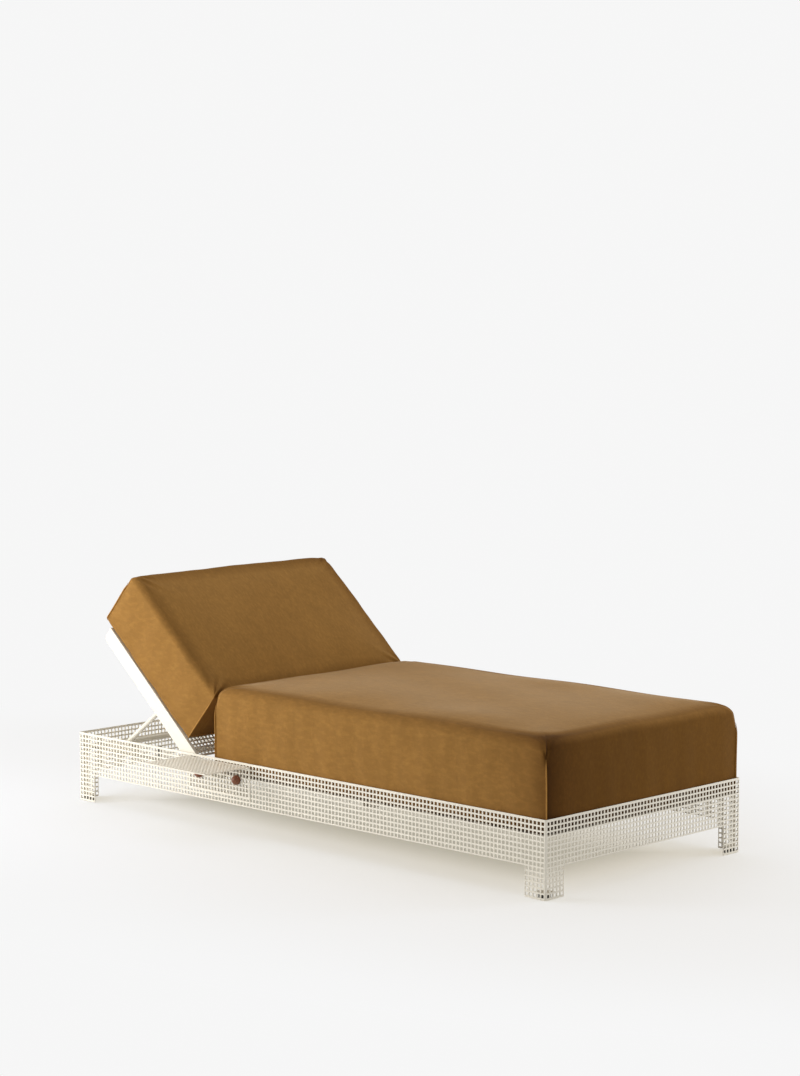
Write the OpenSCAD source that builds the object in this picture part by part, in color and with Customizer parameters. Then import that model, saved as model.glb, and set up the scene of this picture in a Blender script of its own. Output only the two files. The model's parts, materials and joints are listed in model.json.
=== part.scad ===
// Sun lounger for a patio: a low perforated sheet-metal base with four corner legs, a hinged
// back held up by a folding prop, two thick cushions and a clip-on side tray.
// Millimetres, +Z up, +X towards the foot end, the tray on the -Y side. The origin is on the
// floor under the middle of the whole outline, tray included. Modules draw the base centred
// and placed() shifts it. The back is drawn raised, as it stands in use.

/* [Base] */
// Overall length of the sheet-metal base, mm
base_length = 2110; // [1700:5:2400]
// Overall width of the base, mm
base_width = 910; // [650:5:1100]
// Height of the rim above the floor, mm
base_height = 235; // [200:5:420]
// Height of the rails between the legs, mm
rail_height = 141.5; // [120:0.5:180]
// Width of each face of a corner leg, mm
leg_width = 80; // [60:5:120]
// Thickness of the sheet, mm
sheet = 3; // [2:0.5:4]
// Outside radius of the folded corners, mm
fold_radius = 6; // [4:1:12]
// How far the seat deck lies below the rim, mm
deck_drop = 48; // [47:1:60]

/* [Perforation] */
// Centre distance of the square holes, mm. The real sheet has 10 mm holes at 15 mm centres.
// One drawn hole stands for a block of two by two of them, so 15 and 10 give the real sheet.
hole_pitch = 30; // [15:15:60]
// Side of the square holes, mm
hole_side = 22; // [8:1:40]

/* [Backrest] */
// Angle of the back above level, degrees
recline = 41; // [15:1:55]
// Distance of the hinge line from the head end of the base, mm
hinge_from_head = 582; // [480:1:800]
// Hinge line below the rim, mm
hinge_below_rim = 11.5; // [11.5:0.5:12.5]
// Depth of the side bars of the back, mm
side_bar_depth = 50; // [40:1:51]
// Thickness of the side bars of the back, mm
side_bar_thickness = 5; // [4:0.5:6]
// Prop pivot up the back from the hinge line, mm
prop_up = 220; // [160:5:260]
// Diameter of the prop's round tube, mm
prop_tube = 16; // [12:1:18]

/* [Cushions] */
// Thickness of the seat cushion at its edges, mm
seat_thickness = 272; // [140:1:300]
// Thickness of the back cushion at its edges, mm
back_thickness = 213; // [120:1:240]
// How much the middle of each cushion stands above its edges, mm
crown = 18; // [6:1:24]
// How far in from the side a cushion's top starts to fall away, mm
crown_reach = 150; // [80:5:200]
// Rounding of a cushion's top edge, mm
cushion_edge = 16; // [8:1:30]
// Rounding of the edge that a cushion lies on, mm
cushion_foot = 16; // [8:1:24]
// Rounding of a cushion's upright corners seen from above, mm
cushion_corner = 10; // [6:1:20]
// How deep the corner seams are drawn in, mm
seam_depth = 5; // [2:0.5:8]

/* [Side tray] */
// Length of the tray along the lounger, mm
tray_length = 295; // [235:5:355]
// How far the tray stands out from the rail, mm
tray_reach = 190; // [130:5:250]
// Height of the tray's upright plate, mm
tray_plate = 107; // [100:1:125]
// Distance of the two knobs, mm
knob_spacing = 180; // [120:15:210]
// Diameter of the knobs, mm
knob_diameter = 31; // [24:1:40]

/* [Hidden] */
$fn = 48;

cream = [0.93, 0.91, 0.85];
black = [0.08, 0.08, 0.08];
steel = [0.7, 0.7, 0.72];
suede = [0.66, 0.49, 0.28];
tan_brown = [0.42, 0.2, 0.12];

hx = base_length / 2;
hy = base_width / 2;
inner = hy - sheet;
rail_low = base_height - rail_height;
deck_top = base_height - deck_drop;
slat = 2.5;
ledge_top = deck_top - slat;
ledge_wide = 40;
ledge_thick = 2.5;
nut_notch = [28, 17];
foot_plate_size = 46;
glide_r = 18.5;
glide_high = 18;

hinge_x = hinge_from_head - hx;
hinge_z = base_height - hinge_below_rim;
panel_over = 13;
panel_low = -13;
panel_top = hinge_from_head - sheet - 12;
back_half = inner - 7;
panel_half = back_half - side_bar_thickness;
bar_low = panel_over - side_bar_depth;

prop_drop = 16;
prop_r = prop_tube / 2;
prop_length = norm([prop_up, prop_drop]);
prop_lag = atan(prop_drop / prop_up);
prop_tilt = recline - prop_lag;
prop_foot_x = hinge_x - 2 * prop_length * cos(prop_tilt);
arm_y = panel_half - 2 - prop_r;
sleeve_r = prop_r + 1.5;
track_top = hinge_z - sleeve_r - 0.2;
track_y = arm_y - prop_r - 2;
track_wide = 8;

seat_rear = hinge_x + 102.5;
seat_front = hx - sheet - 1;
cushion_half = hy - 6;
seat_belly = 2;
back_belly = 5;
cushion_low_u = 53;
cushion_top_u = panel_top + 43.5;

tray_x = hinge_x + 135;
tray_top = base_height - 8;
tray_bend = 10;
knob_z = base_height - 57.5;
knob_thick = 17;
knob_base = 5;
knob_bore = 8;
nut_deep = 8;
stud_r = 3;
pin_r = 4;
fit = 0.05;

function count_in(size) = floor((size - hole_side - 8 + 0.001) / hole_pitch) + 1;

// Grid of square cutters over a w by h rectangle in the XY plane, through a sheet at z = 0,
// leaving out the holes that would meet a fixing screw.
module hole_grid(w, h, fixings = []) {
  nx = count_in(w);
  ny = count_in(h);
  x0 = (w - (nx - 1) * hole_pitch) / 2;
  y0 = (h - (ny - 1) * hole_pitch) / 2;
  for (i = [0 : nx - 1]) for (j = [0 : ny - 1]) {
    px = x0 + i * hole_pitch;
    py = y0 + j * hole_pitch;
    reach = hole_side / 2 + 5;
    hit = [for (f = fixings) if (abs(f[0] - px) < reach && abs(f[1] - py) < reach) 1];
    if (len(hit) == 0)
      translate([px - hole_side / 2, py - hole_side / 2]) square(hole_side);
  }
}

// Perforated sheet w by h, its lower left corner at the origin, thickness along +Z.
module perforated(w, h, fixings = []) {
  linear_extrude(sheet) difference() {
    square([w, h]);
    hole_grid(w, h, fixings);
    for (f = fixings) translate(f) circle(r = stud_r + 0.2);
  }
}

// Stands a sheet drawn in the XY plane up on the near side, its outer face at y = -hy.
module on_near_side(x, z) {
  translate([x, -hy + sheet, z]) rotate([90, 0, 0]) children();
}

module rail_long(fixings = []) {
  on_near_side(-hx + leg_width, rail_low)
    perforated(base_length - 2 * leg_width, rail_height, fixings);
}

module rail_short() {
  translate([hx - sheet, -hy + leg_width, rail_low]) rotate([90, 0, 90])
    perforated(base_width - 2 * leg_width, rail_height);
}

// Folded corner leg, the corner at the origin and the two faces along +X and +Y.
module leg_form() {
  leg_low = 2;
  first = rail_low + (rail_height - (count_in(rail_height) - 1) * hole_pitch) / 2;
  under = floor((first - 24) / hole_pitch);
  rows = count_in(rail_height) + under;
  columns = floor((leg_width - fold_radius - hole_side - 4) / hole_pitch) + 1;
  difference() {
    translate([0, 0, leg_low]) linear_extrude(base_height - leg_low) {
      translate([fold_radius, 0]) square([leg_width - fold_radius, sheet]);
      translate([0, fold_radius]) square([sheet, leg_width - fold_radius]);
      intersection() {
        translate([fold_radius, fold_radius]) difference() {
          circle(r = fold_radius);
          circle(r = fold_radius - sheet);
        }
        square(fold_radius);
      }
    }
    for (i = [0 : columns - 1]) for (j = [0 : rows - 1]) {
      px = leg_width - hole_pitch / 2 - i * hole_pitch;
      pz = first + (j - under) * hole_pitch;
      translate([px - hole_side / 2, -1, pz - hole_side / 2])
        cube([hole_side, sheet + 2, hole_side]);
      translate([-1, px - hole_side / 2, pz - hole_side / 2])
        cube([sheet + 2, hole_side, hole_side]);
    }
  }
}

module at_corner(foot_end, far_side) {
  mirror([foot_end ? 1 : 0, 0, 0]) mirror([0, far_side ? 1 : 0, 0])
    translate([-hx, -hy, 0]) children();
}

// Stiff inner corner of a leg, cut off square to the diagonal.
module corner_plan(size) {
  polygon([[sheet, fold_radius], [fold_radius, sheet], [size, sheet], [size, size * 0.55],
    [size * 0.55, size], [sheet, size]]);
}

module foot_plate() {
  color(cream) translate([0, 0, glide_high]) linear_extrude(4) corner_plan(foot_plate_size);
}

// Round rubber foot under a foot plate.
module glide() {
  r = glide_r;
  chamfer = 1.5;
  centre = sheet + r + 1;
  color(black) translate([centre, centre, 0]) rotate_extrude()
    polygon([[0, 0], [r - chamfer, 0], [r, chamfer], [r, glide_high], [0, glide_high]]);
}

// Flat ledge that carries the deck along a long side, notched round the tray's nuts.
module ledge_long(fixings = []) {
  color(cream) difference() {
    translate([-hx + sheet, -inner, ledge_top - ledge_thick])
      cube([base_length - 2 * sheet, ledge_wide, ledge_thick]);
    for (f = fixings)
      translate([f - nut_notch[0] / 2, -inner - 1, ledge_top - ledge_thick - 1])
        cube([nut_notch[0], nut_notch[1], ledge_thick + 2]);
  }
}

module ledge_short() {
  long = 2 * (inner - ledge_wide);
  color(cream) translate([hx - sheet - ledge_wide, -long / 2, ledge_top - ledge_thick])
    cube([ledge_wide, long, ledge_thick]);
}

// Rectangular tube across the base under the ledges.
module crossbar(x) {
  wide = 30;
  deep = 20;
  wall = 2;
  end_gap = 14;
  half = inner - end_gap;
  color(cream) translate([x - wide / 2, -half, ledge_top - ledge_thick - deep])
    difference() {
      cube([wide, 2 * half, deep]);
      translate([wall, -1, wall]) cube([wide - 2 * wall, 2 * half + 2, deep - 2 * wall]);
    }
}

module seat_deck_form() {
  rear = hinge_x + 32;
  front = hx - sheet - 6;
  width = 60;
  spacing = 104;
  number = floor((front - rear - width) / spacing) + 1;
  step = (front - rear - width) / (number - 1);
  half = inner - 12;
  tie = 24;
  color(cream) union() {
    for (i = [0 : number - 1])
      translate([rear + i * step, -half, deck_top - slat]) cube([width, 2 * half, slat]);
    for (s = [-1, 1])
      translate([rear, s * base_width * 0.22 - tie / 2, deck_top - slat - ledge_thick])
        cube([front - rear - ledge_wide, tie, ledge_thick + slat / 2]);
  }
}

// Plate welded inside the rail that carries the hinge pin.
module hinge_bracket() {
  r = 10;
  foot = 26;
  thick = 6;
  color(cream) on_plate_near(thick) difference() {
    union() {
      translate([hinge_x, hinge_z]) circle(r = r);
      polygon([[hinge_x - foot, ledge_top], [hinge_x + foot, ledge_top],
        [hinge_x + foot, ledge_top + 12], [hinge_x + r, hinge_z], [hinge_x - r, hinge_z],
        [hinge_x - foot, ledge_top + 12]]);
    }
    translate([hinge_x, hinge_z]) circle(r = pin_r);
  }
}

// A plate drawn in X and Z against the inside of the near rail.
module on_plate_near(thick) {
  translate([0, -inner + thick, 0]) rotate([90, 0, 0]) linear_extrude(thick) children();
}

module hinge_pin() {
  head = 4;
  shank = inner - panel_half + 0.1;
  color(steel) translate([hinge_x, -inner, hinge_z]) rotate([-90, 0, 0]) union() {
    cylinder(r = pin_r, h = shank);
    translate([0, 0, shank]) cylinder(r = 7, h = head);
  }
}

// Serrated track that the prop's sleeve slides on.
module prop_track() {
  long = 116;
  start = prop_foot_x - long + 9;
  tooth = 8;
  teeth = floor(long / tooth);
  color(cream) translate([0, -track_y + track_wide, 0]) rotate([90, 0, 0])
    linear_extrude(track_wide)
      polygon(concat([[start, ledge_top], [start + long, ledge_top],
        [start + long, track_top - 1.2]],
        [for (i = [teeth - 1 : -1 : 0]) each [[start + (i + 1) * tooth - 2, track_top],
          [start + (i + 1) * tooth - 4, track_top], [start + i * tooth, track_top - 1.2]]]));
}

// Block at the end of the track: the back can't be raised past its upright place.
module prop_stop() {
  color(cream) translate([prop_foot_x + sleeve_r + 0.3, -track_y, ledge_top])
    cube([12, track_wide, track_top - ledge_top + 16]);
}

// Pad on the ledge that the side bar lies on when the back is let down flat.
module rest_pad() {
  color(black) translate([hinge_x - panel_top + 40, -inner + 3, ledge_top])
    cube([24, 18, max(0.5, hinge_z + bar_low - ledge_top - 0.3)]);
}

// Buffer inside the rim that keeps the moving back off the sheet.
module rim_buffer() {
  color(black) translate([hinge_x - 171, -inner, base_height - 35]) cube([12, 4, 36]);
}

// Cushion form: rings of a rounded rectangle from the middle of the underside, out round its
// lower edge, up the boxed side, over the top edge and in over the top, which falls away
// towards its sides. The upright corner seams are drawn in. It lies flat, its underside at 0.

// One side of a ring, seen from outside: half its length, its reach from the middle, the corner
// radius, the seam's pull at the corners. Each point is [along, out], seam to seam.
function ring_side(half, reach, r, pull) =
  let (pulls = [1, 0.7, 0.25, 0], angles = [45, 30, 12, 0], parts = 5,
    corner = [for (k = [0 : 3]) let (a = angles[k], p = pull * pulls[k])
      [half - r + (r - p) * sin(a), reach - r + (r - p) * cos(a), 0]],
    straight = [for (m = [1 : parts - 1]) let (f = m / parts)
      [(half - r) * (2 * f - 1), reach, 4 * f * (1 - f)]])
  concat([for (c = corner) [-c[0], c[1], 0]], straight,
    [for (k = [3 : -1 : 1]) [corner[k][0], corner[k][1], 0]]);

// How much lower a cushion's top is at point p than in its middle.
function top_fall(p, half) =
  let (gap = [half[0] - abs(p[0]), half[1] - abs(p[1])])
  crown * norm([for (g = gap) pow(min(1, max(0, 1 - g / crown_reach)), 2)]);

// A ring of points: row is [inset from the side, height it starts from, how far under the top
// it ends, share of the way between these two, share of the belly, share of the seam's depth].
function ring(half, row, total, belly, middle) =
  let (inset = row[0], size = [half[0] - inset, half[1] - inset],
    r = min(cushion_corner + 0.5 * inset, middle - inset - 1))
  [for (q = [0 : 3]) let (t = q * 90)
    for (p = ring_side(size[(q + 1) % 2], size[q % 2], r, row[5] * seam_depth))
      let (out = p[1] + belly * row[4] * p[2],
        x = out * cos(t) - p[0] * sin(t), y = out * sin(t) + p[0] * cos(t),
        top = total - top_fall([x, y], half))
      [x, y, row[1] + (top - row[1] - row[2]) * row[3]]];

module cushion(long, wide, thick, belly) {
  half = [long / 2 - belly, wide / 2 - belly];
  middle = min(half[0], half[1]);
  total = thick + crown;
  rows = concat(
    [[middle * 0.7, 0, 0, 0, 0, 0]],
    [for (a = [0 : 30 : 90])
      [cushion_foot * (1 - sin(a)), cushion_foot * (1 - cos(a)), 0, 0, a / 250, sin(a)]],
    [for (f = [0.25, 0.5, 0.75, 1])
      [0, cushion_foot, cushion_edge, f, 0.36 + 0.64 * sin(120 * f), 1]],
    [for (a = [22.5 : 22.5 : 90])
      [cushion_edge * (1 - cos(a)), 0, cushion_edge * (1 - sin(a)), 1, 0.9, 1]],
    [for (f = [0.12, 0.3, 0.6, 1])
      [cushion_edge + (crown_reach - cushion_edge) * f, 0, 0, 1, 0.9 * (1 - f),
        max(0, 1 - 8 * f)]],
    [[middle * 0.7, 0, 0, 1, 0, 0]]);
  rings = [for (row = rows) ring(half, row, total, belly, middle)];
  n = len(rings[0]);
  m = len(rings);
  points = concat([[0, 0, 0]], [for (q = rings) each q], [[0, 0, total]]);
  last = len(points) - 1;
  faces = concat(
    [for (i = [0 : n - 1]) [0, 1 + i, 1 + (i + 1) % n]],
    [for (k = [0 : m - 2]) for (i = [0 : n - 1]) let (a = 1 + k * n, b = a + n, j = (i + 1) % n)
      each [[a + i, b + i, b + j], [a + i, b + j, a + j]]],
    [for (i = [0 : n - 1]) let (a = 1 + (m - 1) * n) [last, a + (i + 1) % n, a + i]]);
  polyhedron(points = points, faces = faces, convexity = 4);
}

module seat_cushion_form() {
  color(suede) translate([(seat_rear + seat_front) / 2, 0, deck_top])
    cushion(seat_front - seat_rear, 2 * cushion_half, seat_thickness, seat_belly);
}

// L-shaped tray, folded from one perforated sheet.
module side_tray_form() {
  flat = tray_reach - tray_bend;
  upright = tray_plate - tray_bend;
  fixings = [[tray_length / 2 - knob_spacing / 2, knob_z - (tray_top - tray_plate)],
    [tray_length / 2 + knob_spacing / 2, knob_z - (tray_top - tray_plate)]];
  color(cream) translate([tray_x - tray_length / 2, -hy, 0]) union() {
    translate([0, 0, tray_top - tray_plate]) rotate([90, 0, 0])
      perforated(tray_length, upright, fixings);
    translate([0, -tray_reach, tray_top - sheet]) perforated(tray_length, flat);
    translate([0, -tray_bend, tray_top - tray_bend]) rotate([90, 0, 90])
      linear_extrude(tray_length) intersection() {
        difference() {
          circle(r = tray_bend);
          circle(r = tray_bend - sheet);
        }
        square(tray_bend);
      }
  }
}

// Nuts welded inside the near rail for the tray's knobs.
module tray_nuts_form() {
  color(steel) for (s = [-1, 1])
    translate([tray_x + s * knob_spacing / 2, -inner, knob_z]) rotate([-90, 0, 0])
      difference() {
        cylinder(r = 6, h = nut_deep);
        translate([0, 0, -1]) cylinder(r = stud_r + fit, h = nut_deep + 2);
      }
}

module knob_grip(s) {
  r = knob_diameter / 2;
  color(tan_brown) translate([tray_x + s * knob_spacing / 2, -hy - sheet - 0.2, knob_z])
    rotate([90, 0, 0]) rotate_extrude()
      polygon(concat([[stud_r, 0], [r - 1.5, 0], [r, 1.5]],
        [for (a = [0 : 15 : 75]) [r * cos(a), knob_base + (knob_thick - knob_base) * sin(a)]],
        [[0, knob_thick], [0, knob_bore], [stud_r, knob_bore]]));
}

module knob_stud(s) {
  reach_in = nut_deep - 0.5;
  color(steel) translate([tray_x + s * knob_spacing / 2, -inner + reach_in, knob_z])
    rotate([90, 0, 0]) cylinder(r = stud_r, h = reach_in + 2 * sheet + knob_bore);
}

// The back is drawn lying flat along its own X, pointing up the back from the hinge line, and
// then raised about that line.
module raised(tilt = recline) {
  translate([hinge_x, 0, hinge_z]) rotate([0, tilt, 0]) mirror([1, 0, 0]) children();
}

module back_bar() {
  round_end = 18;
  color(cream) translate([0, -panel_half, 0]) rotate([90, 0, 0])
    linear_extrude(side_bar_thickness) difference() {
      union() {
        translate([panel_low, bar_low + round_end])
          square([panel_top - panel_low, side_bar_depth - round_end]);
        translate([panel_low + round_end, bar_low])
          square([panel_top - panel_low - 2 * round_end, round_end + 1]);
        translate([panel_low + round_end, bar_low + round_end]) circle(r = round_end);
        translate([panel_top - round_end, bar_low + round_end]) circle(r = round_end);
      }
      circle(r = pin_r + fit);
      translate([prop_up, -prop_drop]) circle(r = pin_r);
    }
}

module back_panel() {
  color(cream) translate([panel_low, -panel_half, panel_over - sheet])
    perforated(panel_top - panel_low, 2 * panel_half);
}

// Flat bar on edge across the back under the panel.
module back_rail(u) {
  low = bar_low + 14;
  color(cream) translate([u, -panel_half, low])
    cube([5, 2 * panel_half, panel_over - sheet - low]);
}

module prop_pin() {
  washer = 2;
  long = side_bar_thickness + 2 * washer + 2 * prop_r;
  color(steel) translate([prop_up, -back_half, -prop_drop]) rotate([-90, 0, 0]) union() {
    cylinder(r = pin_r, h = long);
    translate([0, 0, long]) cylinder(r = 6, h = washer);
    translate([0, 0, side_bar_thickness]) difference() {
      cylinder(r = 7, h = washer - 0.2);
      translate([0, 0, -1]) cylinder(r = pin_r - 0.5, h = washer + 2);
    }
  }
}

module back_cushion() {
  long = cushion_top_u - cushion_low_u;
  color(suede) translate([(cushion_low_u + cushion_top_u) / 2, 0, panel_over + 0.01])
    cushion(long, 2 * cushion_half, back_thickness, back_belly);
}

// The prop is drawn along X from its pivot to its foot bar, then hung on the back's pivot.
module propped() {
  translate([hinge_x - prop_length * cos(prop_tilt), 0, hinge_z + prop_length * sin(prop_tilt)])
    rotate([0, 180 - prop_tilt, 0]) children();
}

module prop_arm() {
  start = 3;
  color(cream) difference() {
    union() {
      translate([start, -arm_y, 0]) rotate([0, 90, 0])
        cylinder(r = prop_r, h = prop_length - 2 * start);
      for (x = [0, prop_length]) translate([x, -arm_y - prop_r, 0]) rotate([-90, 0, 0])
        cylinder(r = prop_r + 1, h = 2 * prop_r);
    }
    translate([0, -arm_y - prop_r - 1, 0]) rotate([-90, 0, 0])
      cylinder(r = pin_r + fit, h = 2 * prop_r + 2);
  }
}

module prop_foot_bar() {
  color(cream) translate([prop_length, -arm_y + prop_r, 0]) rotate([-90, 0, 0])
    cylinder(r = prop_r, h = 2 * (arm_y - prop_r));
}

module prop_sleeve() {
  color(cream) translate([prop_length, -arm_y + prop_r + 1, 0]) rotate([-90, 0, 0])
    difference() {
      cylinder(r = sleeve_r, h = track_wide + 2);
      translate([0, 0, -1]) cylinder(r = prop_r, h = track_wide + 4);
    }
}

module other_side() { mirror([0, 1, 0]) children(); }

// Puts the origin under the middle of the whole outline, the tray included.
module placed() { translate([0, tray_reach / 2, 0]) children(); }

fixing_places = [tray_x - knob_spacing / 2, tray_x + knob_spacing / 2];
rail_fixings = [for (x = fixing_places) [x + hx - leg_width, knob_z - rail_low]];

module rail_near() { placed() color(cream) rail_long(rail_fixings); }
module rail_far() { placed() color(cream) other_side() rail_long(); }
module rail_foot() { placed() color(cream) rail_short(); }
module rail_head() { placed() color(cream) mirror([1, 0, 0]) rail_short(); }
module leg_foot_near() { placed() color(cream) at_corner(true, false) leg_form(); }
module leg_foot_far() { placed() color(cream) at_corner(true, true) leg_form(); }
module leg_head_near() { placed() color(cream) at_corner(false, false) leg_form(); }
module leg_head_far() { placed() color(cream) at_corner(false, true) leg_form(); }
module ledge_near() { placed() ledge_long(fixing_places); }
module ledge_far() { placed() other_side() ledge_long(); }
module ledge_foot() { placed() ledge_short(); }
module ledge_head() { placed() mirror([1, 0, 0]) ledge_short(); }
module crossbar_hinge() { placed() crossbar(tray_x - knob_spacing / 4); }
module crossbar_middle() { placed() crossbar((hinge_x + hx) / 2 + 20); }
module foot_plate_foot_near() { placed() at_corner(true, false) foot_plate(); }
module foot_plate_foot_far() { placed() at_corner(true, true) foot_plate(); }
module foot_plate_head_near() { placed() at_corner(false, false) foot_plate(); }
module foot_plate_head_far() { placed() at_corner(false, true) foot_plate(); }
module glide_foot_near() { placed() at_corner(true, false) glide(); }
module glide_foot_far() { placed() at_corner(true, true) glide(); }
module glide_head_near() { placed() at_corner(false, false) glide(); }
module glide_head_far() { placed() at_corner(false, true) glide(); }
module hinge_bracket_near() { placed() hinge_bracket(); }
module hinge_bracket_far() { placed() other_side() hinge_bracket(); }
module hinge_pin_near() { placed() hinge_pin(); }
module hinge_pin_far() { placed() other_side() hinge_pin(); }
module prop_track_near() { placed() prop_track(); }
module prop_track_far() { placed() other_side() prop_track(); }
module prop_stop_near() { placed() prop_stop(); }
module prop_stop_far() { placed() other_side() prop_stop(); }
module rest_pad_near() { placed() rest_pad(); }
module rest_pad_far() { placed() other_side() rest_pad(); }
module rim_buffer_near() { placed() rim_buffer(); }
module rim_buffer_far() { placed() other_side() rim_buffer(); }
module back_bar_near() { placed() raised() back_bar(); }
module back_bar_far() { placed() other_side() raised() back_bar(); }
module back_panel_up() { placed() raised() back_panel(); }
module back_top_rail() { placed() raised() back_rail(panel_top - 5); }
module back_low_rail() { placed() raised() back_rail(24); }
module prop_pin_near() { placed() raised() prop_pin(); }
module prop_pin_far() { placed() other_side() raised() prop_pin(); }
module back_cushion_up() { placed() raised() back_cushion(); }
module prop_arm_near() { placed() propped() prop_arm(); }
module prop_arm_far() { placed() propped() translate([0, 2 * arm_y, 0]) prop_arm(); }
module prop_foot_bar_down() { placed() propped() prop_foot_bar(); }
module prop_sleeve_near() { placed() propped() prop_sleeve(); }
module prop_sleeve_far() { placed() other_side() propped() prop_sleeve(); }
module knob_left() { placed() knob_grip(-1); }
module knob_right() { placed() knob_grip(1); }
module knob_stud_left() { placed() knob_stud(-1); }
module knob_stud_right() { placed() knob_stud(1); }
module seat_deck() { placed() seat_deck_form(); }
module seat_cushion() { placed() seat_cushion_form(); }
module side_tray() { placed() side_tray_form(); }
module tray_nuts() { placed() tray_nuts_form(); }

rail_near();
rail_far();
rail_foot();
rail_head();
leg_foot_near();
leg_foot_far();
leg_head_near();
leg_head_far();
ledge_near();
ledge_far();
ledge_foot();
ledge_head();
crossbar_hinge();
crossbar_middle();
seat_deck();
foot_plate_foot_near();
foot_plate_foot_far();
foot_plate_head_near();
foot_plate_head_far();
glide_foot_near();
glide_foot_far();
glide_head_near();
glide_head_far();
hinge_bracket_near();
hinge_bracket_far();
hinge_pin_near();
hinge_pin_far();
prop_track_near();
prop_track_far();
prop_stop_near();
prop_stop_far();
rest_pad_near();
rest_pad_far();
rim_buffer_near();
rim_buffer_far();
seat_cushion();
side_tray();
tray_nuts();
back_bar_near();
back_bar_far();
back_panel_up();  // back_panel
back_top_rail();
back_low_rail();
prop_pin_near();
prop_pin_far();
back_cushion_up();  // back_cushion
prop_arm_near();
prop_arm_far();
prop_foot_bar_down();  // prop_foot_bar
prop_sleeve_near();
prop_sleeve_far();
knob_left();
knob_stud_left();
knob_right();
knob_stud_right();
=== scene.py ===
"""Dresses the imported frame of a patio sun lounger: perforated cream sheet metal, two thick
suede-like cushions, a folding prop, a side tray with wooden knobs, and the studio around it.

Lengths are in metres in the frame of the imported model: +X to the foot end, +Z up, the tray on
the -Y side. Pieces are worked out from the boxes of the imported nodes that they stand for.
"""

import json
import math

import bmesh
import bpy
import numpy as np
from bpy.props import FloatProperty, FloatVectorProperty, IntProperty, PointerProperty
from mathutils import Matrix, Vector
from mathutils.kdtree import KDTree

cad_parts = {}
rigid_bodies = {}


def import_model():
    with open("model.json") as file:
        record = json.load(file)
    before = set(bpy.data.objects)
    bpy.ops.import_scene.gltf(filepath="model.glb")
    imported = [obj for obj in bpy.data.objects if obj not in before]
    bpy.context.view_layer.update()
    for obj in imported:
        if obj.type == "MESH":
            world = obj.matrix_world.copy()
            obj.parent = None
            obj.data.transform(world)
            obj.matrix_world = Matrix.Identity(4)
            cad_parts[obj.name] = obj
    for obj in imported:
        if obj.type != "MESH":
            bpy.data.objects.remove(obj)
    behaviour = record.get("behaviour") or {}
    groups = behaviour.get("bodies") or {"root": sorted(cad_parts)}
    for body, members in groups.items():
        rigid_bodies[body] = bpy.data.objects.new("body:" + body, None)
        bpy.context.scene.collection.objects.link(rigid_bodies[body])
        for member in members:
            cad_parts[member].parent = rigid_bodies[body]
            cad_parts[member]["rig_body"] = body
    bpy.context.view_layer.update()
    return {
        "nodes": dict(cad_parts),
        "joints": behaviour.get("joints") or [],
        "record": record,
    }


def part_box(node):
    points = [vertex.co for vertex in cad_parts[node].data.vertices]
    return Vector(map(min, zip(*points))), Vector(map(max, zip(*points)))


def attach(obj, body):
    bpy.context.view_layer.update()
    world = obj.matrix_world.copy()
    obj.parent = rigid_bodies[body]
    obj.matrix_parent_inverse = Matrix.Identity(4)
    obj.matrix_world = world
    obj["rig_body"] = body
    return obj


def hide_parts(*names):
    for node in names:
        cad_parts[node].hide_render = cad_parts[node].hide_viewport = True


bl_info = {
    "name": "Sun Lounger Looks",
    "version": (1, 0, 0),
    "blender": (4, 5, 0),
    "location": "View3D > Sidebar > Lounger",
    "description": "Punched sheet metal, cushions, prop and tray of a patio sun lounger",
    "category": "Object",
}

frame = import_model()
NODES = frame["nodes"]
SLOT_OF = {row["node"]: row["material_slot"] for row in frame["record"]["subparts"]}
HINGE = next(j for j in frame["joints"] if j["name"] == "backrest_recline")
RECLINE = math.radians(HINGE["range_deg"][1])
MIDDLE_Y = HINGE["pos_m"][1]
# the most painted shade that a point of a cushion can hold
DEEPEST_PAINTED_SHADE = 1.4
SEAT_LOOSENESS, BACK_LOOSENESS = 1.0, 0.35
FOOT_ROWS, SIDE_ROWS, EDGE_ROWS = 6, 22, 7


# What a user would change


def length_property(name, default, description, **limits):
    """A length in metres."""
    return FloatProperty(
        name=name, description=description, default=default, unit="LENGTH", **limits)


def colour_property(name, default, description):
    return FloatVectorProperty(
        name=name, description=description, default=default, subtype="COLOR", min=0, max=1)


class LoungerSheet(bpy.types.PropertyGroup):
    """The punched sheet metal."""

    pitch: length_property("Hole pitch", 0.015, "Centre distance of the square holes", min=0.008)
    hole: length_property("Hole side", 0.010, "Side of the square holes", min=0.004)
    edge_break: length_property(
        "Edge break", 0.0004, "Chamfer that the powder coat leaves on every edge", min=0.0001)
    first_row: length_property(
        "First row", 0.0125, "Height of the rim above the centres of the top row")
    fold_steps: IntProperty(
        name="Fold steps", description="Facets round each folded corner", default=6, min=2)


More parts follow.
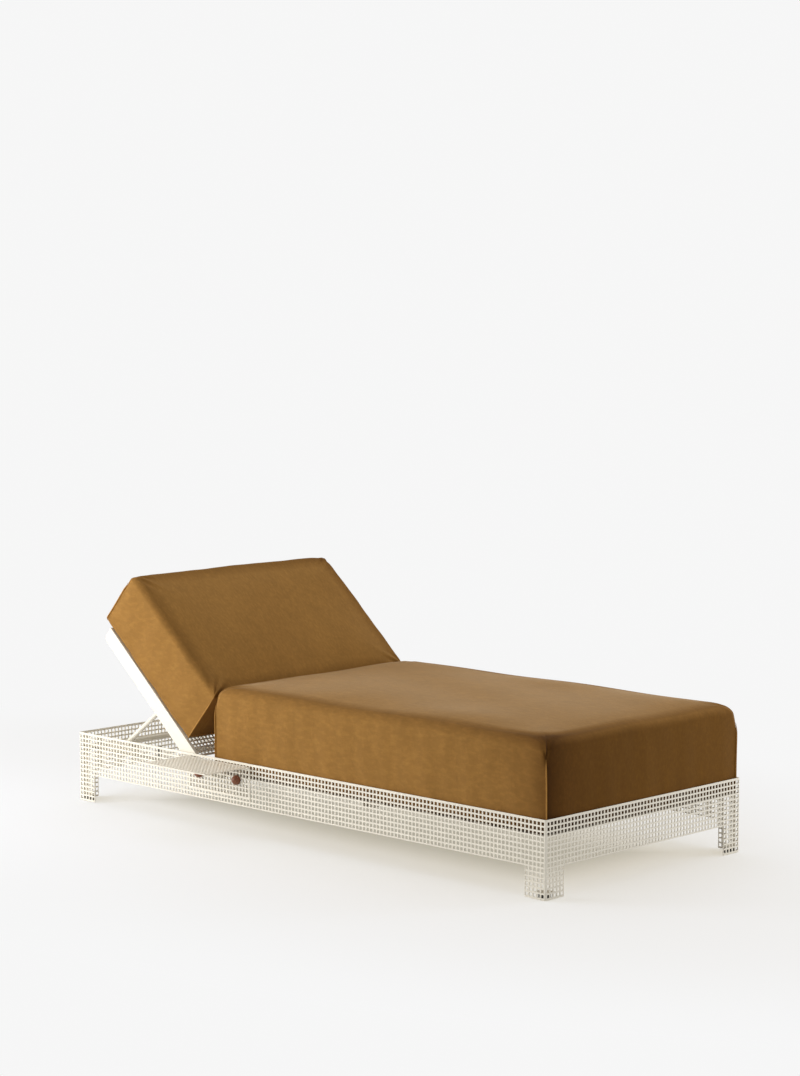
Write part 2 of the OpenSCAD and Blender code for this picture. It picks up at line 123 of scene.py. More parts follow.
class LoungerCushions(bpy.types.PropertyGroup):
    """The form of the two cushions."""

    edge: length_property("Top edge", 0.027, "Rounding of the edge between the side and the top")
    foot: length_property("Lower edge", 0.016, "Rounding of the edge that the cushion lies on")
    corner: length_property(
        "Corner radius", 0.005, "Rounding of the upright corners seen from above")
    round_top: length_property(
        "Round top", 0.022, "How much rounder the corner seams end at the top")
    crown: length_property("Crown", 0.018, "How far the middle stands above the top of the sides")
    reach: length_property("Crown reach", 0.150, "How far in from the side the top starts to fall")
    seam_depth: length_property("Seam depth", 0.010, "Depth of the hollows beside the corner seams")
    seam_width: length_property(
        "Seam width", 0.010, "Distance from a corner seam to its hollow's bottom")
    pinch: length_property("Pinch", 0.016, "How far the top end of a corner seam is drawn in")
    welt: length_property("Welt", 0.0042, "Thickness of the folded welt in the corner seams")
    wave: length_property("Wave", 0.0021, "Height of the soft waves in the sides")
    pressure: FloatProperty(
        name="Pressure", description="Air pressure that fills the covers", default=4.0)
    puff: length_property("Puff", 0.006, "The most that the filling moves 99 in 100 points")
    sim_voxel: length_property("Cloth grid", 0.014, "Grid of the simulated cover")
    sim_frames: IntProperty(name="Cloth steps", description="Frames simulated", default=16)


class LoungerColours(bpy.types.PropertyGroup):
    """Colours of the finishes."""

    coat: colour_property("Powder coat", (0.80, 0.757, 0.66), "Cream coat of the metal")
    cloth: colour_property("Cloth", (0.293, 0.148, 0.037), "Ochre nap of the cushions")
    knob: colour_property("Knob wood", (0.20, 0.062, 0.022), "Oiled reddish wood of the knobs")
    rubber: colour_property(
        "Rubber", (0.04, 0.038, 0.034), "Black rubber of the small pads and glides")
    nylon: colour_property("Nylon", (0.70, 0.66, 0.56), "Sleeves of the prop's foot")
    floor: colour_property("Floor", (0.88, 0.88, 0.875), "Studio floor")


# Finishes


def new_material(name):
    """A node material and its Principled shader."""
    material = bpy.data.materials.new(name)
    material.use_nodes = True
    return material, material.node_tree.nodes["Principled BSDF"]


def feed(owner, node, inputs):
    """Feeds a node's inputs, each with another node's output or with a plain value."""
    for name, source in inputs.items():
        if isinstance(source, bpy.types.NodeSocket):
            owner.node_tree.links.new(source, node.inputs[name])
        else:
            node.inputs[name].default_value = source


def wired(owner, kind, *sources, give=0, **values):
    """One output of a new node of a material or the world: its first, unless give names
    another. The sources feed its inputs in their order, the values go by name."""
    node = owner.node_tree.nodes.new("ShaderNode" + kind)
    for name, value in values.items():
        if name in node.inputs:
            feed(owner, node, {name: value})
        else:
            setattr(node, name, value)
    feed(owner, node, dict(enumerate(sources)))
    return node.outputs[give]


def noise(material, scale, detail=3.0, rough=0.5, stretch=(1, 1, 1)):
    """Noise over the object's own coordinates, in features of about 1 / scale metres."""
    place = wired(material, "TexCoord", give="Object")
    stretched = wired(material, "Mapping", place, Scale=stretch)
    return wired(material, "TexNoise", stretched, Scale=scale, Detail=detail, Roughness=rough,
                 give="Fac")


def ramp(material, value, *stops):
    """Colour ramp over (position, colour) stops."""
    result = wired(material, "ValToRGB", value, give="Color")
    elements = result.node.color_ramp.elements
    while len(elements) < len(stops):
        elements.new(0.5)
    for element, (position, colour) in zip(elements, stops):
        element.position = position
        element.color = (*colour, 1)
    return result


def spread(material, value, start, end, low=0.0, high=1.0, curve="LINEAR"):
    """Lays the value's way from start to end onto low to high."""
    return wired(material, "MapRange", value, start, end, low, high, interpolation_type=curve)


def grey(value):
    return (value, value, value)


def multiplied(material, product, *colours):
    """The product of two or more colours."""
    for colour in colours:
        product = wired(material, "Mix", data_type="RGBA", blend_type="MULTIPLY", Factor=1.0,
                        A=product, B=colour, give="Result")
    return product


def bump(material, height, distance, strength, **below):
    """A normal bumped by a height, distance in metres. Normal is the bumped one below it."""
    return wired(
        material, "Bump", Height=height, Distance=distance, Strength=strength, **below)


def shade(colour, factor):
    return tuple(min(1.0, c * factor) for c in colour)


def powder_coat(colour):
    """Cream powder coat: faint clouds, a worn gloss and fine orange peel."""
    material, shader = new_material("cream_powder_coat")
    cloudy = noise(material, 3.0, detail=2.0)
    worn = noise(material, 40.0, detail=4.0)
    feed(material, shader, {
        "Base Color": ramp(
            material, cloudy, (0.3, shade(colour, 0.975)), (0.7, shade(colour, 1.02))),
        "Roughness": ramp(material, worn, (0.35, grey(0.42)), (0.7, grey(0.52))),
        "Specular IOR Level": 0.4,
        "Normal": bump(material, noise(material, 900.0, detail=2.0), 0.0002, 0.25)})
    return material


def napped_cloth(colour):
    """Suede-like cloth: brushed clouds, a short nap that lightens at the rim, and fine grain.
    Shade is painted on faces that look along the world's X axis, towards the foot end, and by
    the points' hollow value beside the seams and along the edges. Welts get a painted highlight."""
    material, shader = new_material("ochre_napped_cloth")
    clouds = noise(material, 11.0, detail=6.0, rough=0.62, stretch=(1, 1, 0.5))
    marks = noise(material, 46.0, detail=5.0, rough=0.7, stretch=(0.8, 1.2, 1.1))
    streaks = noise(material, 150.0, detail=3.0, rough=0.65, stretch=(0.22, 1.0, 0.55))
    normal = wired(material, "NewGeometry", give="Normal")
    facing_for_painted_shade = wired(
        material, "VectorMath", normal, (1, 0, 0), operation="DOT_PRODUCT", give="Value")
    # hollow holds painted shade per point: beside the seams, along the edge rolls, near the rim
    hollow = wired(material, "Attribute", attribute_name="hollow", give="Fac")
    raised = wired(material, "Attribute", attribute_name="raised", give="Fac")
    depth = spread(material, hollow, start=0.0, end=DEEPEST_PAINTED_SHADE)
    uneven = bump(material, noise(material, 60.0, detail=4.0, rough=0.6), 0.0012, 0.22)
    grain = noise(material, 1100.0, detail=2.0)
    feed(material, shader, {
        "Base Color": multiplied(
            material,
            ramp(material, clouds, (0.30, shade(colour, 0.93)), (0.52, colour),
                 (0.74, shade(colour, 1.07))),
            ramp(material, marks, (0.30, grey(0.92)), (0.50, grey(0.98)), (0.72, grey(1.04))),
            ramp(material, streaks, (0.45, grey(0.97)), (0.72, grey(1.15))),
            # painted shade: faces that look towards the foot end are darkened
            ramp(material, facing_for_painted_shade, (0.60, grey(1.0)), (0.80, (0.78, 0.74, 0.63)),
                 (1.0, (0.48, 0.41, 0.22))),
            # painted shade: darker where the hollow value is high
            ramp(material, depth, (0.0, grey(1.0)), (0.7, (0.56, 0.50, 0.42)),
                 (1.0, (0.34, 0.28, 0.20))),
            # painted highlight: the welts are lightened
            ramp(material, raised, (0.0, grey(1.0)), (1.0, grey(1.5)))),
        "Roughness": 0.92,
        "Specular IOR Level": 0.12,
        "Sheen Weight": spread(material, depth, start=0.0, end=0.35, low=0.24, high=0.03),
        "Sheen Roughness": 0.32,
        "Sheen Tint": (1.0, 0.85, 0.62, 1),
        "Normal": bump(material, grain, 0.0004, 0.35, Normal=uneven)})
    return material


def turned_wood(colour):
    """Oiled wood, its grain stretched across the knob."""
    material, shader = new_material("oiled_knob_wood")
    rings = noise(material, 70.0, detail=5.0, rough=0.6, stretch=(1, 5, 1))
    pores = noise(material, 350.0, detail=3.0, stretch=(1, 6, 1))
    feed(material, shader, {
        "Base Color": ramp(material, rings, (0.3, shade(colour, 0.65)), (0.55, colour),
                           (0.75, shade(colour, 1.5))),
        "Roughness": 0.46,
        "Normal": bump(material, pores, 0.0003, 0.2)})
    return material


def moulded_rubber(colour):
    """Matt black rubber with a little dust."""
    material, shader = new_material("black_moulded_rubber")
    dusty = noise(material, 120.0, detail=4.0)
    feed(material, shader, {
        "Base Color": ramp(material, dusty, (0.35, colour), (0.75, shade(colour, 1.9))),
        "Roughness": 0.78,
        "Normal": bump(material, noise(material, 1500.0, detail=2.0), 0.0002, 0.3)})
    return material


def pale_nylon(colour):
    """Off-white matt nylon."""
    material, shader = new_material("pale_matt_nylon")
    cloudy = noise(material, 80.0)
    feed(material, shader, {
        "Base Color": ramp(
            material, cloudy, (0.3, shade(colour, 0.94)), (0.7, shade(colour, 1.03))),
        "Roughness": 0.6,
        "Normal": bump(material, noise(material, 1200.0), 0.0002, 0.2)})
    return material


def plain_steel():
    """Drawn steel of the pins, brackets and studs."""
    material, shader = new_material("plain_steel")
    drawn = noise(material, 500.0, detail=3.0, stretch=(1, 0.05, 1))
    cloudy = noise(material, 60.0)
    feed(material, shader, {
        "Base Color": ramp(material, cloudy, (0.3, grey(0.55)), (0.7, grey(0.62))),
        "Metallic": 1.0,
        "Roughness": ramp(material, drawn, (0.3, grey(0.28)), (0.7, grey(0.42))),
        "Normal": bump(material, drawn, 0.0001, 0.15)})
    return material


FINISHES = {}


def finish_for(slot_name):
    """The one material of each of the record's slots, made when it is first asked for."""
    colours = bpy.context.scene.lounger_colours
    makers = {
        "cream_sheet": lambda: powder_coat(colours.coat),
        "cushion": lambda: napped_cloth(colours.cloth),
        "rubber": lambda: moulded_rubber(colours.rubber),
        "steel": plain_steel,
        "nylon": lambda: pale_nylon(colours.nylon),
        "knob": lambda: turned_wood(colours.knob),
    }
    if slot_name not in FINISHES:
        FINISHES[slot_name] = makers[slot_name]()
    return FINISHES[slot_name]


def dress(piece, slot_name):
    piece.data.materials.clear()
    piece.data.materials.append(finish_for(slot_name))


# Meshes


def new_object(name, data):
    made = bpy.data.objects.new(name, data)
    bpy.context.scene.collection.objects.link(made)
    return made


def mesh_piece(name, points, faces, smooth=False):
    """A closed mesh object with its normals outward."""
    mesh = bpy.data.meshes.new(name)
    mesh.from_pydata([tuple(p) for p in points], [], [tuple(int(i) for i in f) for f in faces])
    turned = bmesh.new()
    turned.from_mesh(mesh)
    bmesh.ops.recalc_face_normals(turned, faces=turned.faces)
    turned.to_mesh(mesh)
    turned.free()
    mesh.validate()
    for polygon in mesh.polygons:
        polygon.use_smooth = smooth
    return new_object(name, mesh)


def rings_of(rows, count, start=0):
    """The point numbers of rows of count points each, from start on."""
    return [range(start + row * count, start + (row + 1) * count) for row in range(rows)]


def bands(*rings):
    """The quads between closed rings of point numbers, each ring and the next."""
    faces = []
    for one, other in zip(rings, rings[1:]):
        for k in range(len(one)):
            m = (k + 1) % len(one)
            faces.append([one[k], one[m], other[m], other[k]])
    return faces


def closed_tube(*rings):
    """The faces of a tube through the rings, closed at both ends."""
    return bands(*rings) + [list(rings[0]), list(rings[-1])]


def on_body(piece, node):
    """The piece takes the place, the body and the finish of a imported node."""
    dress(piece, SLOT_OF[node])
    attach(piece, NODES[node]["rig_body"])
    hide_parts(node)


def punched_sheet(name, across, up, holes_across, holes_up, thick, place, folds=(),
                  soft_ends=(True, True, True, True)):
    """A flat sheet with square holes, laid into space by place((s, h, depth) rows).

    across and up are the sheet's ends, holes_across and holes_up the hole centres. soft_ends
    says which of the low and high ends across and up have a broken edge. folds are further
    grid lines across.
    """
    sheet = bpy.context.scene.lounger_sheet
    half, ease = sheet.hole / 2, sheet.edge_break
    low_s, high_s, low_h, high_h = soft_ends
    s_lines = [across[0] + ease * low_s, across[1] - ease * high_s, *folds]
    h_lines = [up[0] + ease * low_h, up[1] - ease * high_h]
    for lines, centres in ((s_lines, holes_across), (h_lines, holes_up)):
        for centre in centres:
            lines.extend([centre - half - ease, centre + half + ease])
    column_at, row_at = (
        {round(centre - half - ease, 7): k for k, centre in enumerate(centres)}
        for centres in (holes_across, holes_up))
    s_lines, h_lines = np.unique(np.round(s_lines, 7)), np.unique(np.round(h_lines, 7))
    ns, nh = len(s_lines), len(h_lines)
    grid_s, grid_h = np.meshgrid(s_lines, h_lines, indexing="ij")
    front = np.column_stack([grid_s.ravel(), grid_h.ravel(), np.zeros(ns * nh)])
    points = [front, front + [0, 0, thick]]
    count = 2 * ns * nh
    depths = (ease, thick - ease)
    faces = []

    def front_and_back(places):
        """Point numbers of (column, row) places on the sheet's front and on its back."""
        numbers = [i * nh + j for i, j in places]
        return numbers, [number + ns * nh for number in numbers]

    for i in range(ns - 1):
        column = column_at.get(round(float(s_lines[i]), 7))
        for j in range(nh - 1):
            row = row_at.get(round(float(h_lines[j]), 7))
            near, rear = front_and_back([(i, j), (i + 1, j), (i + 1, j + 1), (i, j + 1)])
            if column is None or row is None:
                faces += [near, rear[::-1]]
                continue
            s, h = holes_across[column], holes_up[row]
            square = [(s - half, h - half), (s + half, h - half), (s + half, h + half),
                      (s - half, h + half)]
            points.append(np.array([[*corner, depth] for depth in depths for corner in square]))
            faces += bands(near, *rings_of(2, 4, count), rear)
            count += 8
    rim = ([(i, 0) for i in range(ns)] + [(ns - 1, j) for j in range(1, nh)]
           + [(i, nh - 1) for i in range(ns - 2, -1, -1)] + [(0, j) for j in range(nh - 2, 0, -1)])
    s_ends, h_ends = {0: across[0], ns - 1: across[1]}, {0: up[0], nh - 1: up[1]}
    edge = [(s_ends.get(i, s_lines[i]), h_ends.get(j, h_lines[j])) for i, j in rim]
    points.append(np.array([[*corner, depth] for depth in depths for corner in edge]))
    near, rear = front_and_back(rim)
    faces += bands(near, *rings_of(2, len(rim), count), rear)
    return mesh_piece(name, place(np.vstack(points)), faces)


def centres_between(low, high, start, edge_metal=0.001, tolerance=1e-6):
    """Hole centres of the pattern start + k * pitch whose holes lie between low and high."""
    sheet = bpy.context.scene.lounger_sheet
    reach = sheet.hole / 2 + edge_metal
    first = math.ceil((low + reach - start) / sheet.pitch - tolerance)
    last = math.floor((high - reach - start) / sheet.pitch + tolerance)
    return [start + k * sheet.pitch for k in range(first, last + 1)]


def folded_path(first, radius, second):
    """A sheet folded once by 90 degrees. Gives the function that takes the developed length and
    the depth into the sheet to a point in axes along the two flanges, then the whole length,
    then the grid lines round the fold."""
    steps = bpy.context.scene.lounger_sheet.fold_steps
    arc = math.pi / 2 * radius

    def point(s, depth):
        turn = np.clip((s - first) / radius, 0, math.pi / 2)
        a = np.minimum(s, first) + (radius - depth) * np.sin(turn)
        b = radius - (radius - depth) * np.cos(turn) + np.maximum(s - first - arc, 0)
        return a, b

    return point, first + arc + second, [first + arc * k / steps for k in range(steps + 1)]


def sheet_thickness():
    low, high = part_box("rail_near")
    return high.y - low.y


# Punched base


def base_box():
    lows, highs = zip(*(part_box(n) for n in ("rail_near", "rail_far", "rail_foot", "rail_head")))
    return (Vector(min(c[k] for c in lows) for k in range(3)),
            Vector(max(c[k] for c in highs) for k in range(3)))


def side_pattern(low, high):
    """Centres of the hole columns along a side of the base, half a pitch off its middle."""
    return centres_between(low, high, bpy.context.scene.lounger_sheet.pitch / 2)


def rows_down_from(rim, low):
    """Centres of the hole rows from under a rim down to low, the lowest first."""
    sheet = bpy.context.scene.lounger_sheet
    rows, height = [], rim - sheet.first_row
    while height - sheet.hole / 2 > low:
        rows.append(height)
        height -= sheet.pitch
    return rows[::-1]


def rail_sheet(node):
    """One rail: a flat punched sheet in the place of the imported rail."""
    low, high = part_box(node)
    along = 0 if high.x - low.x > high.y - low.y else 1
    thick = (high - low)[1 - along]
    middle = (0, MIDDLE_Y)[along]
    outward = 1 if (low + high)[1 - along] / 2 > (0, MIDDLE_Y)[1 - along] else -1
    face = high[1 - along] if outward > 0 else low[1 - along]

    def place(p):
        out = np.empty_like(p)
        out[:, along] = p[:, 0] + middle
        out[:, 1 - along] = face - outward * p[:, 2]
        out[:, 2] = p[:, 1]
        return out

    ends = (low[along] - middle, high[along] - middle)
    piece = punched_sheet(
        node + "_sheet", ends, (low.z, high.z), side_pattern(*ends),
        rows_down_from(high.z, low.z), thick, place, soft_ends=(False, False, True, True))
    on_body(piece, node)


def leg_sheet(node):
    """A corner leg: one punched sheet folded round the corner of the base."""
    low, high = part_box(node)
    base_low, base_high = base_box()
    to_foot = 1 if low.x + high.x > 0 else -1
    to_far = 1 if (low.y + high.y) / 2 > MIDDLE_Y else -1
    corner = Vector((base_high.x if to_foot > 0 else base_low.x,
                     base_high.y if to_far > 0 else base_low.y))
    width = high.x - low.x
    thick = sheet_thickness()
    radius = 2 * thick
    flat = width - radius
    point, length, folds = folded_path(flat, radius, flat)
    columns = side_pattern(abs(corner.x) - width, abs(corner.x))
    from_corner = [abs(corner.x) - c for c in columns]
    holes = sorted([width - d for d in from_corner] + [length - width + d for d in from_corner])

    def place(p):
        a, b = point(p[:, 0], p[:, 2])
        return np.column_stack([corner.x - to_foot * (width - a), corner.y - to_far * b, p[:, 1]])

    piece = punched_sheet(
        node + "_sheet", (0, length), (low.z, high.z), holes, rows_down_from(high.z, low.z),
        thick, place, folds)
    on_body(piece, node)


class LOUNGER_OT_base(bpy.types.Operator):
    """Punched rails and folded corner legs of the base"""

    bl_idname = "lounger.base"
    bl_label = "Punched Base"

    def execute(self, context):
        for side in ("near", "far", "foot", "head"):
            rail_sheet("rail_" + side)
        for end in ("foot", "head"):
            for side in ("near", "far"):
                leg_sheet(f"leg_{end}_{side}")
        return {"FINISHED"}


# Back


def back_matrix():
    """Lays a piece drawn flat, X up the back and Z out of it, onto the raised back."""
    up = Vector((-math.cos(RECLINE), 0, math.sin(RECLINE)))
    out = Vector((math.sin(RECLINE), 0, math.cos(RECLINE)))
    side = out.cross(up)
    turned = Matrix((up, side, out)).transposed().to_4x4()
    return Matrix.Translation(HINGE["pos_m"]) @ turned


def back_box(node):
    """A node's lowest and highest corner along the back's own axes."""
    lay_flat = np.array(back_matrix().inverted())
    co = np.array([v.co for v in NODES[node].data.vertices]).reshape(-1, 3)
    flat = co @ lay_flat[:3, :3].T + lay_flat[:3, 3]
    return Vector(flat.min(0)), Vector(flat.max(0))


class LOUNGER_OT_back(bpy.types.Operator):
    """Punched panel of the back"""

    bl_idname = "lounger.back"
    bl_label = "Punched Back Panel"

    def execute(self, context):
        low, high = back_box("back_panel")
        lay = np.array(back_matrix())

        def place(p):
            flat = np.column_stack([p[:, 0], p[:, 1], high.z - p[:, 2]])
            return flat @ lay[:3, :3].T + lay[:3, 3]

        piece = punched_sheet(
            "back_panel_sheet", (low.x, high.x), (low.y, high.y),
            centres_between(low.x, high.x, 0.0), side_pattern(low.y, high.y),
            high.z - low.z, place)
        on_body(piece, "back_panel")
        return {"FINISHED"}


# Side tray and knobs


class LOUNGER_OT_tray(bpy.types.Operator):
    """Side tray, folded from one punched sheet"""

    bl_idname = "lounger.tray"
    bl_label = "Side Tray"

    bend: length_property("Bend", 0.010, "Outer radius of the tray's fold")
    lower_edge: length_property("Lower edge", 0.002, "Least metal under the upright's lowest holes")

    def execute(self, context):
        hole = context.scene.lounger_sheet.hole
        low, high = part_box("side_tray")
        upright = high.z - low.z - self.bend
        shelf = high.y - low.y - self.bend
        point, length, folds = folded_path(upright, self.bend, shelf)
        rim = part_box("rail_near")[1].z
        upright_rows = [z - low.z for z in rows_down_from(rim, low.z + self.lower_edge)
                        if z < low.z + upright - hole / 2]
        shelf_rows = rows_down_from(length, length - shelf + hole / 2)
        middle = (low.x + high.x) / 2
        columns = [x - middle for x in side_pattern(low.x, high.x)
                   if min(x - low.x, high.x - x) > hole]

        def place(p):
            a, b = point(p[:, 0], p[:, 2])
            return np.column_stack([p[:, 1] + middle, high.y - b, low.z + a])

        piece = punched_sheet(
            "side_tray_sheet", (0, length), (low.x - middle, high.x - middle),
            upright_rows + shelf_rows, columns, sheet_thickness(), place, folds)
        on_body(piece, "side_tray")
        return {"FINISHED"}


def turned_piece(name, profile, steps=64):
    """A lathe-turned closed piece from (radius, height) points, its axis along -Y."""
    angles = [2 * math.pi * k / steps for k in range(steps)]
    points = [(radius * math.cos(angle), -height, radius * math.sin(angle))
              for radius, height in profile for angle in angles]
    return mesh_piece(name, points, closed_tube(*rings_of(len(profile), steps)), smooth=True)


class LOUNGER_OT_knobs(bpy.types.Operator):
    """Turned wooden knobs that hold the tray"""

    bl_idname = "lounger.knobs"
    bl_label = "Tray Knobs"

    ease: length_property("Rounding", 0.0015, "Rounding of a knob's inner edge")
    skirt: length_property("Skirt", 0.005, "Height at which a knob's dome begins")
    rise: length_property("Rise", 0.003, "How much further than the packed one a dome stands out")
    bore: length_property("Bore", 0.0032, "Radius at which a knob's inner face ends at its stud")
    dome_steps: IntProperty(
        name="Dome steps", description="Rings of points over a knob's dome", default=12, min=3)

    def execute(self, context):
        for side in ("left", "right"):
            node = "knob_" + side
            low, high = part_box(node)
            radius, long = (high.z - low.z) / 2, high.y - low.y + self.rise
            bevel, tip = 0.3 * self.ease, 0.03 * radius
            profile = [(self.bore, 0), (radius - self.ease, 0), (radius - bevel, bevel),
                       (radius, self.ease)]
            for k in range(self.dome_steps):
                angle = math.pi / 2 * k / self.dome_steps
                profile.append((radius * math.cos(angle),
                                self.skirt + (long - self.skirt) * math.sin(angle)))
            profile.append((tip, long))
            piece = turned_piece(node + "_turned", profile)
            piece.location = ((low.x + high.x) / 2, high.y, (low.z + high.z) / 2)
            on_body(piece, node)
        return {"FINISHED"}


# Cushions


def shares_along(length, fine=0.0022, coarse=0.015, near=0.018, widening=0.05):
    """Shares of a side from seam to seam, closely spaced beside the seams."""
    marks, at = [], 0.0
    while at < length / 2:
        marks.append(at)
        at += fine + (coarse - fine) * min(1.0, max(0.0, (at - near) / widening))
    half = [m / length for m in marks if m < 0.49 * length] + [0.5]
    return half + [1 - share for share in half[-2::-1]]


def outline_point(side, share, half, radius, belly, fullness=2.2):
    """A point on a rectangle with rounded corners and swollen sides, and its outward normal.
    Sides face +X, +Y, -X, -Y in turn, each running from one corner's middle to the next."""
    straight = 2 * half[1 - side % 2] - 2 * radius
    arc = math.pi / 4 * radius
    along = share * (straight + 2 * arc)
    if along < arc:
        angle = -math.pi / 4 + along / radius
    elif along > arc + straight:
        angle = (along - arc - straight) / radius
    else:
        angle = 0.0
    t = (min(max(along - arc, 0.0), straight) - straight / 2) + radius * math.sin(angle)
    swell = 1 - abs(2 * share - 1) ** fullness
    out = half[side % 2] - radius + radius * math.cos(angle) + belly * swell
    turn = math.pi / 2 * side
    c, s = round(math.cos(turn)), round(math.sin(turn))
    nt, no = math.sin(angle), math.cos(angle)
    return out * c - t * s, out * s + t * c, no * c - nt * s, no * s + nt * c


def cushion_rows(edge, soft):
    """The rows of points from the underside up to the rounded edge and onto the top. Each has
    its inset, the height that it starts from, how far under the top it ends, and its share of
    the way between the two, of the belly and of the seam's depth. The last two say how much
    shade is painted along the whole row and how much beside the tucked seam."""
    shape = bpy.context.scene.lounger_cushions
    # painted shade along the lower and upper edge rolls, written into each row
    foot_swell, edge_swell, foot_painted_shade, edge_painted_shade = 0.36, 0.9, 0.4, 0.5
    underside, seam_fade = 0.012, 0.018
    rows = [(shape.foot + underside, 0.0, 0.0, 0.0, 0.0, 0.0, 0.0, 0.0)]
    for k in range(FOOT_ROWS + 1):
        angle = math.pi / 2 * k / FOOT_ROWS
        rows.append((shape.foot * (1 - math.sin(angle)), shape.foot * (1 - math.cos(angle)),
                     0.0, 0.0, foot_swell * k / FOOT_ROWS, math.sin(angle), foot_painted_shade * soft, 1.0))
    for k in range(1, SIDE_ROWS + 1):
        share = k / SIDE_ROWS
        swell = foot_swell + (1 - foot_swell) * math.sin(math.pi * 2 / 3 * share)
        rows.append((0.0, shape.foot, edge, share, swell, 1.0,
                     soft * max(0.0, foot_painted_shade - 2 * share), 1.0))
    for k in range(1, EDGE_ROWS + 1):
        angle = math.pi / 2 * k / EDGE_ROWS
        rows.append((edge * (1 - math.cos(angle)), 0.0, edge * (1 - math.sin(angle)), 1.0,
                     edge_swell, 1.0, edge_painted_shade * math.sin(angle), 1.0))
    steps = (0.004, 0.009, 0.015, 0.022, 0.032, 0.044)
    for step in steps:
        fade = 1 - step / steps[-1]
        rows.append((edge + step, 0.0, 0.0, 1.0, edge_swell * (1 - (edge + step) / shape.reach),
                     max(0.0, 1 - step / seam_fade), edge_painted_shade * fade, fade))
    return rows


def cushion_form(long, wide, thick, belly, soft, seam=1.0):
    """Points, faces, seam rows and painted shade (0 to 1.4 at each point) of a boxed cushion,
    drawn in beside its corner seams. It lies flat, X along it, its underside at 0 and its middle
    over the origin. The crown is left a little low, for the filling to raise. soft is how
    loose the cover is: 1 gives the full roll of the top edges and the deep tuck at the +X -Y
    seam, with the most painted shade there. seam is the share of the drawing in that is done."""
    shape = bpy.context.scene.lounger_cushions
    shares = [shares_along(wide), shares_along(long)] * 2
    stations = [(side, share) for side in range(4) for share in shares[side][:-1]]
    half = (long / 2 - belly, wide / 2 - belly)
    room = 0.7 * shape.puff
    edge, crown = (full * (0.6 + 0.4 * soft) for full in (shape.edge, shape.crown))
    tuck_drop, pinch_height, tuck_height = 0.046, 0.015, 0.025
    plain_seam, plain_pinch, shadow_reach, least_radius = 0.35, 0.1, 17, 0.0005

    def top_at(x, y):
        fall = [min(1.0, max(0.0, 1 - (h - abs(v)) / shape.reach)) ** 2
                for h, v in zip(half, (x, y))]
        lower = soft * math.hypot(*fall) + (1 - soft) * max(fall)
        return thick - room - (crown - room) * lower

    tuck_middle = top_at(*half) - tuck_drop
    rows = cushion_rows(edge, soft)
    points, hollows = [], []
    for inset, base, under, share_up, swell, sewn, painted_row_shade, deep in rows:
        round_top = shape.round_top * soft ** 2 * share_up ** 10
        radius = max(min(shape.corner + round_top + 0.5 * inset, min(half) - inset), least_radius)
        size = (half[0] - inset, half[1] - inset)
        for side, share in stations:
            x, y, nx, ny = outline_point(side, share, size, radius, belly * swell)
            height = base + (top_at(x, y) - base - under) * share_up
            gap = min(share, 1 - share) * 2 * size[1 - side % 2] / shape.seam_width
            on_foot_end = side == 0 and share < 0.5
            at_tuck = on_foot_end or (side == 3 and share > 0.5)
            tucked = soft if on_foot_end else plain_seam
            drawn = soft if at_tuck else plain_pinch
            beside = (1 - math.exp(-4 * gap)) * math.exp(-gap / 3)
            above = height - tuck_middle
            pinched = drawn * math.exp(-gap ** 2 - (above / pinch_height) ** 2)
            pull = shape.seam_depth * tucked * sewn * beside + shape.pinch * pinched
            points.append((x - nx * pull * seam, y - ny * pull * seam, height))
            # painted shade: a spot darkened where a seam's top is pinched in, strongest at the
            # tucked seam
            painted_seam_shade = drawn ** 2 * math.exp(-gap ** 2 / 4 - (above / tuck_height) ** 2)
            painted_seam_shade *= 2.2 if on_foot_end else 1.1
            # painted shade: a broad shadow that fades away from the tucked seam, and lines beside
            # it
            if at_tuck:
                shadow = deep * (1.0 if on_foot_end else 0.75) * math.exp(-gap / shadow_reach)
                painted_seam_shade = max(painted_seam_shade, shadow * soft + 0.6 * tucked * sewn * beside)
            hollows.append(min(DEEPEST_PAINTED_SHADE, painted_row_shade + painted_seam_shade))
    rings = rings_of(len(rows), len(stations))
    faces = bands(*rings)
    add_patch(points, faces, rings[0], len(shares[0]), len(shares[1]))
    add_patch(points, faces, rings[-1], len(shares[0]), len(shares[1]), top_at)
    corners = [sum(len(shares[side]) - 1 for side in range(q)) for q in range(4)]
    seams = [[ring[corner] for ring in rings[4:6 + SIDE_ROWS]] for corner in corners]
    return points, faces, seams, hollows + [0.0] * (len(points) - len(hollows))


def add_patch(points, faces, ring, across, along, height=None):
    """Fills a four-sided ring of point numbers with a grid of points and faces. across and
    along count the points of its first two sides. height(x, y) is for the new points."""
    ring = list(ring)
    grid = np.zeros((across, along), int)
    grid[:, 0] = ring[:across]
    grid[-1] = ring[across - 1:across + along - 1]
    grid[::-1, -1] = ring[across + along - 2:2 * across + along - 2]
    grid[0, ::-1] = ring[2 * across + along - 3:] + ring[:1]
    at = np.array(points)[grid]
    u = (np.arange(1, across - 1) / (across - 1))[:, None, None]
    v = (np.arange(1, along - 1) / (along - 1))[:, None]
    inner = ((1 - v) * at[1:-1, :1] + v * at[1:-1, -1:] + (1 - u) * at[:1, 1:-1]
             + u * at[-1:, 1:-1] - (1 - u) * (1 - v) * at[0, 0] - u * (1 - v) * at[-1, 0]
             - (1 - u) * v * at[0, -1] - u * v * at[-1, -1]).reshape(-1, 3)
    grid[1:-1, 1:-1] = len(points) + np.arange(len(inner)).reshape(across - 2, along - 2)
    points += [(x, y, height(x, y) if height else z) for x, y, z in inner]
    for i in range(across - 1):
        for j in range(along - 1):
            faces.append([grid[i, j], grid[i + 1, j], grid[i + 1, j + 1], grid[i, j + 1]])


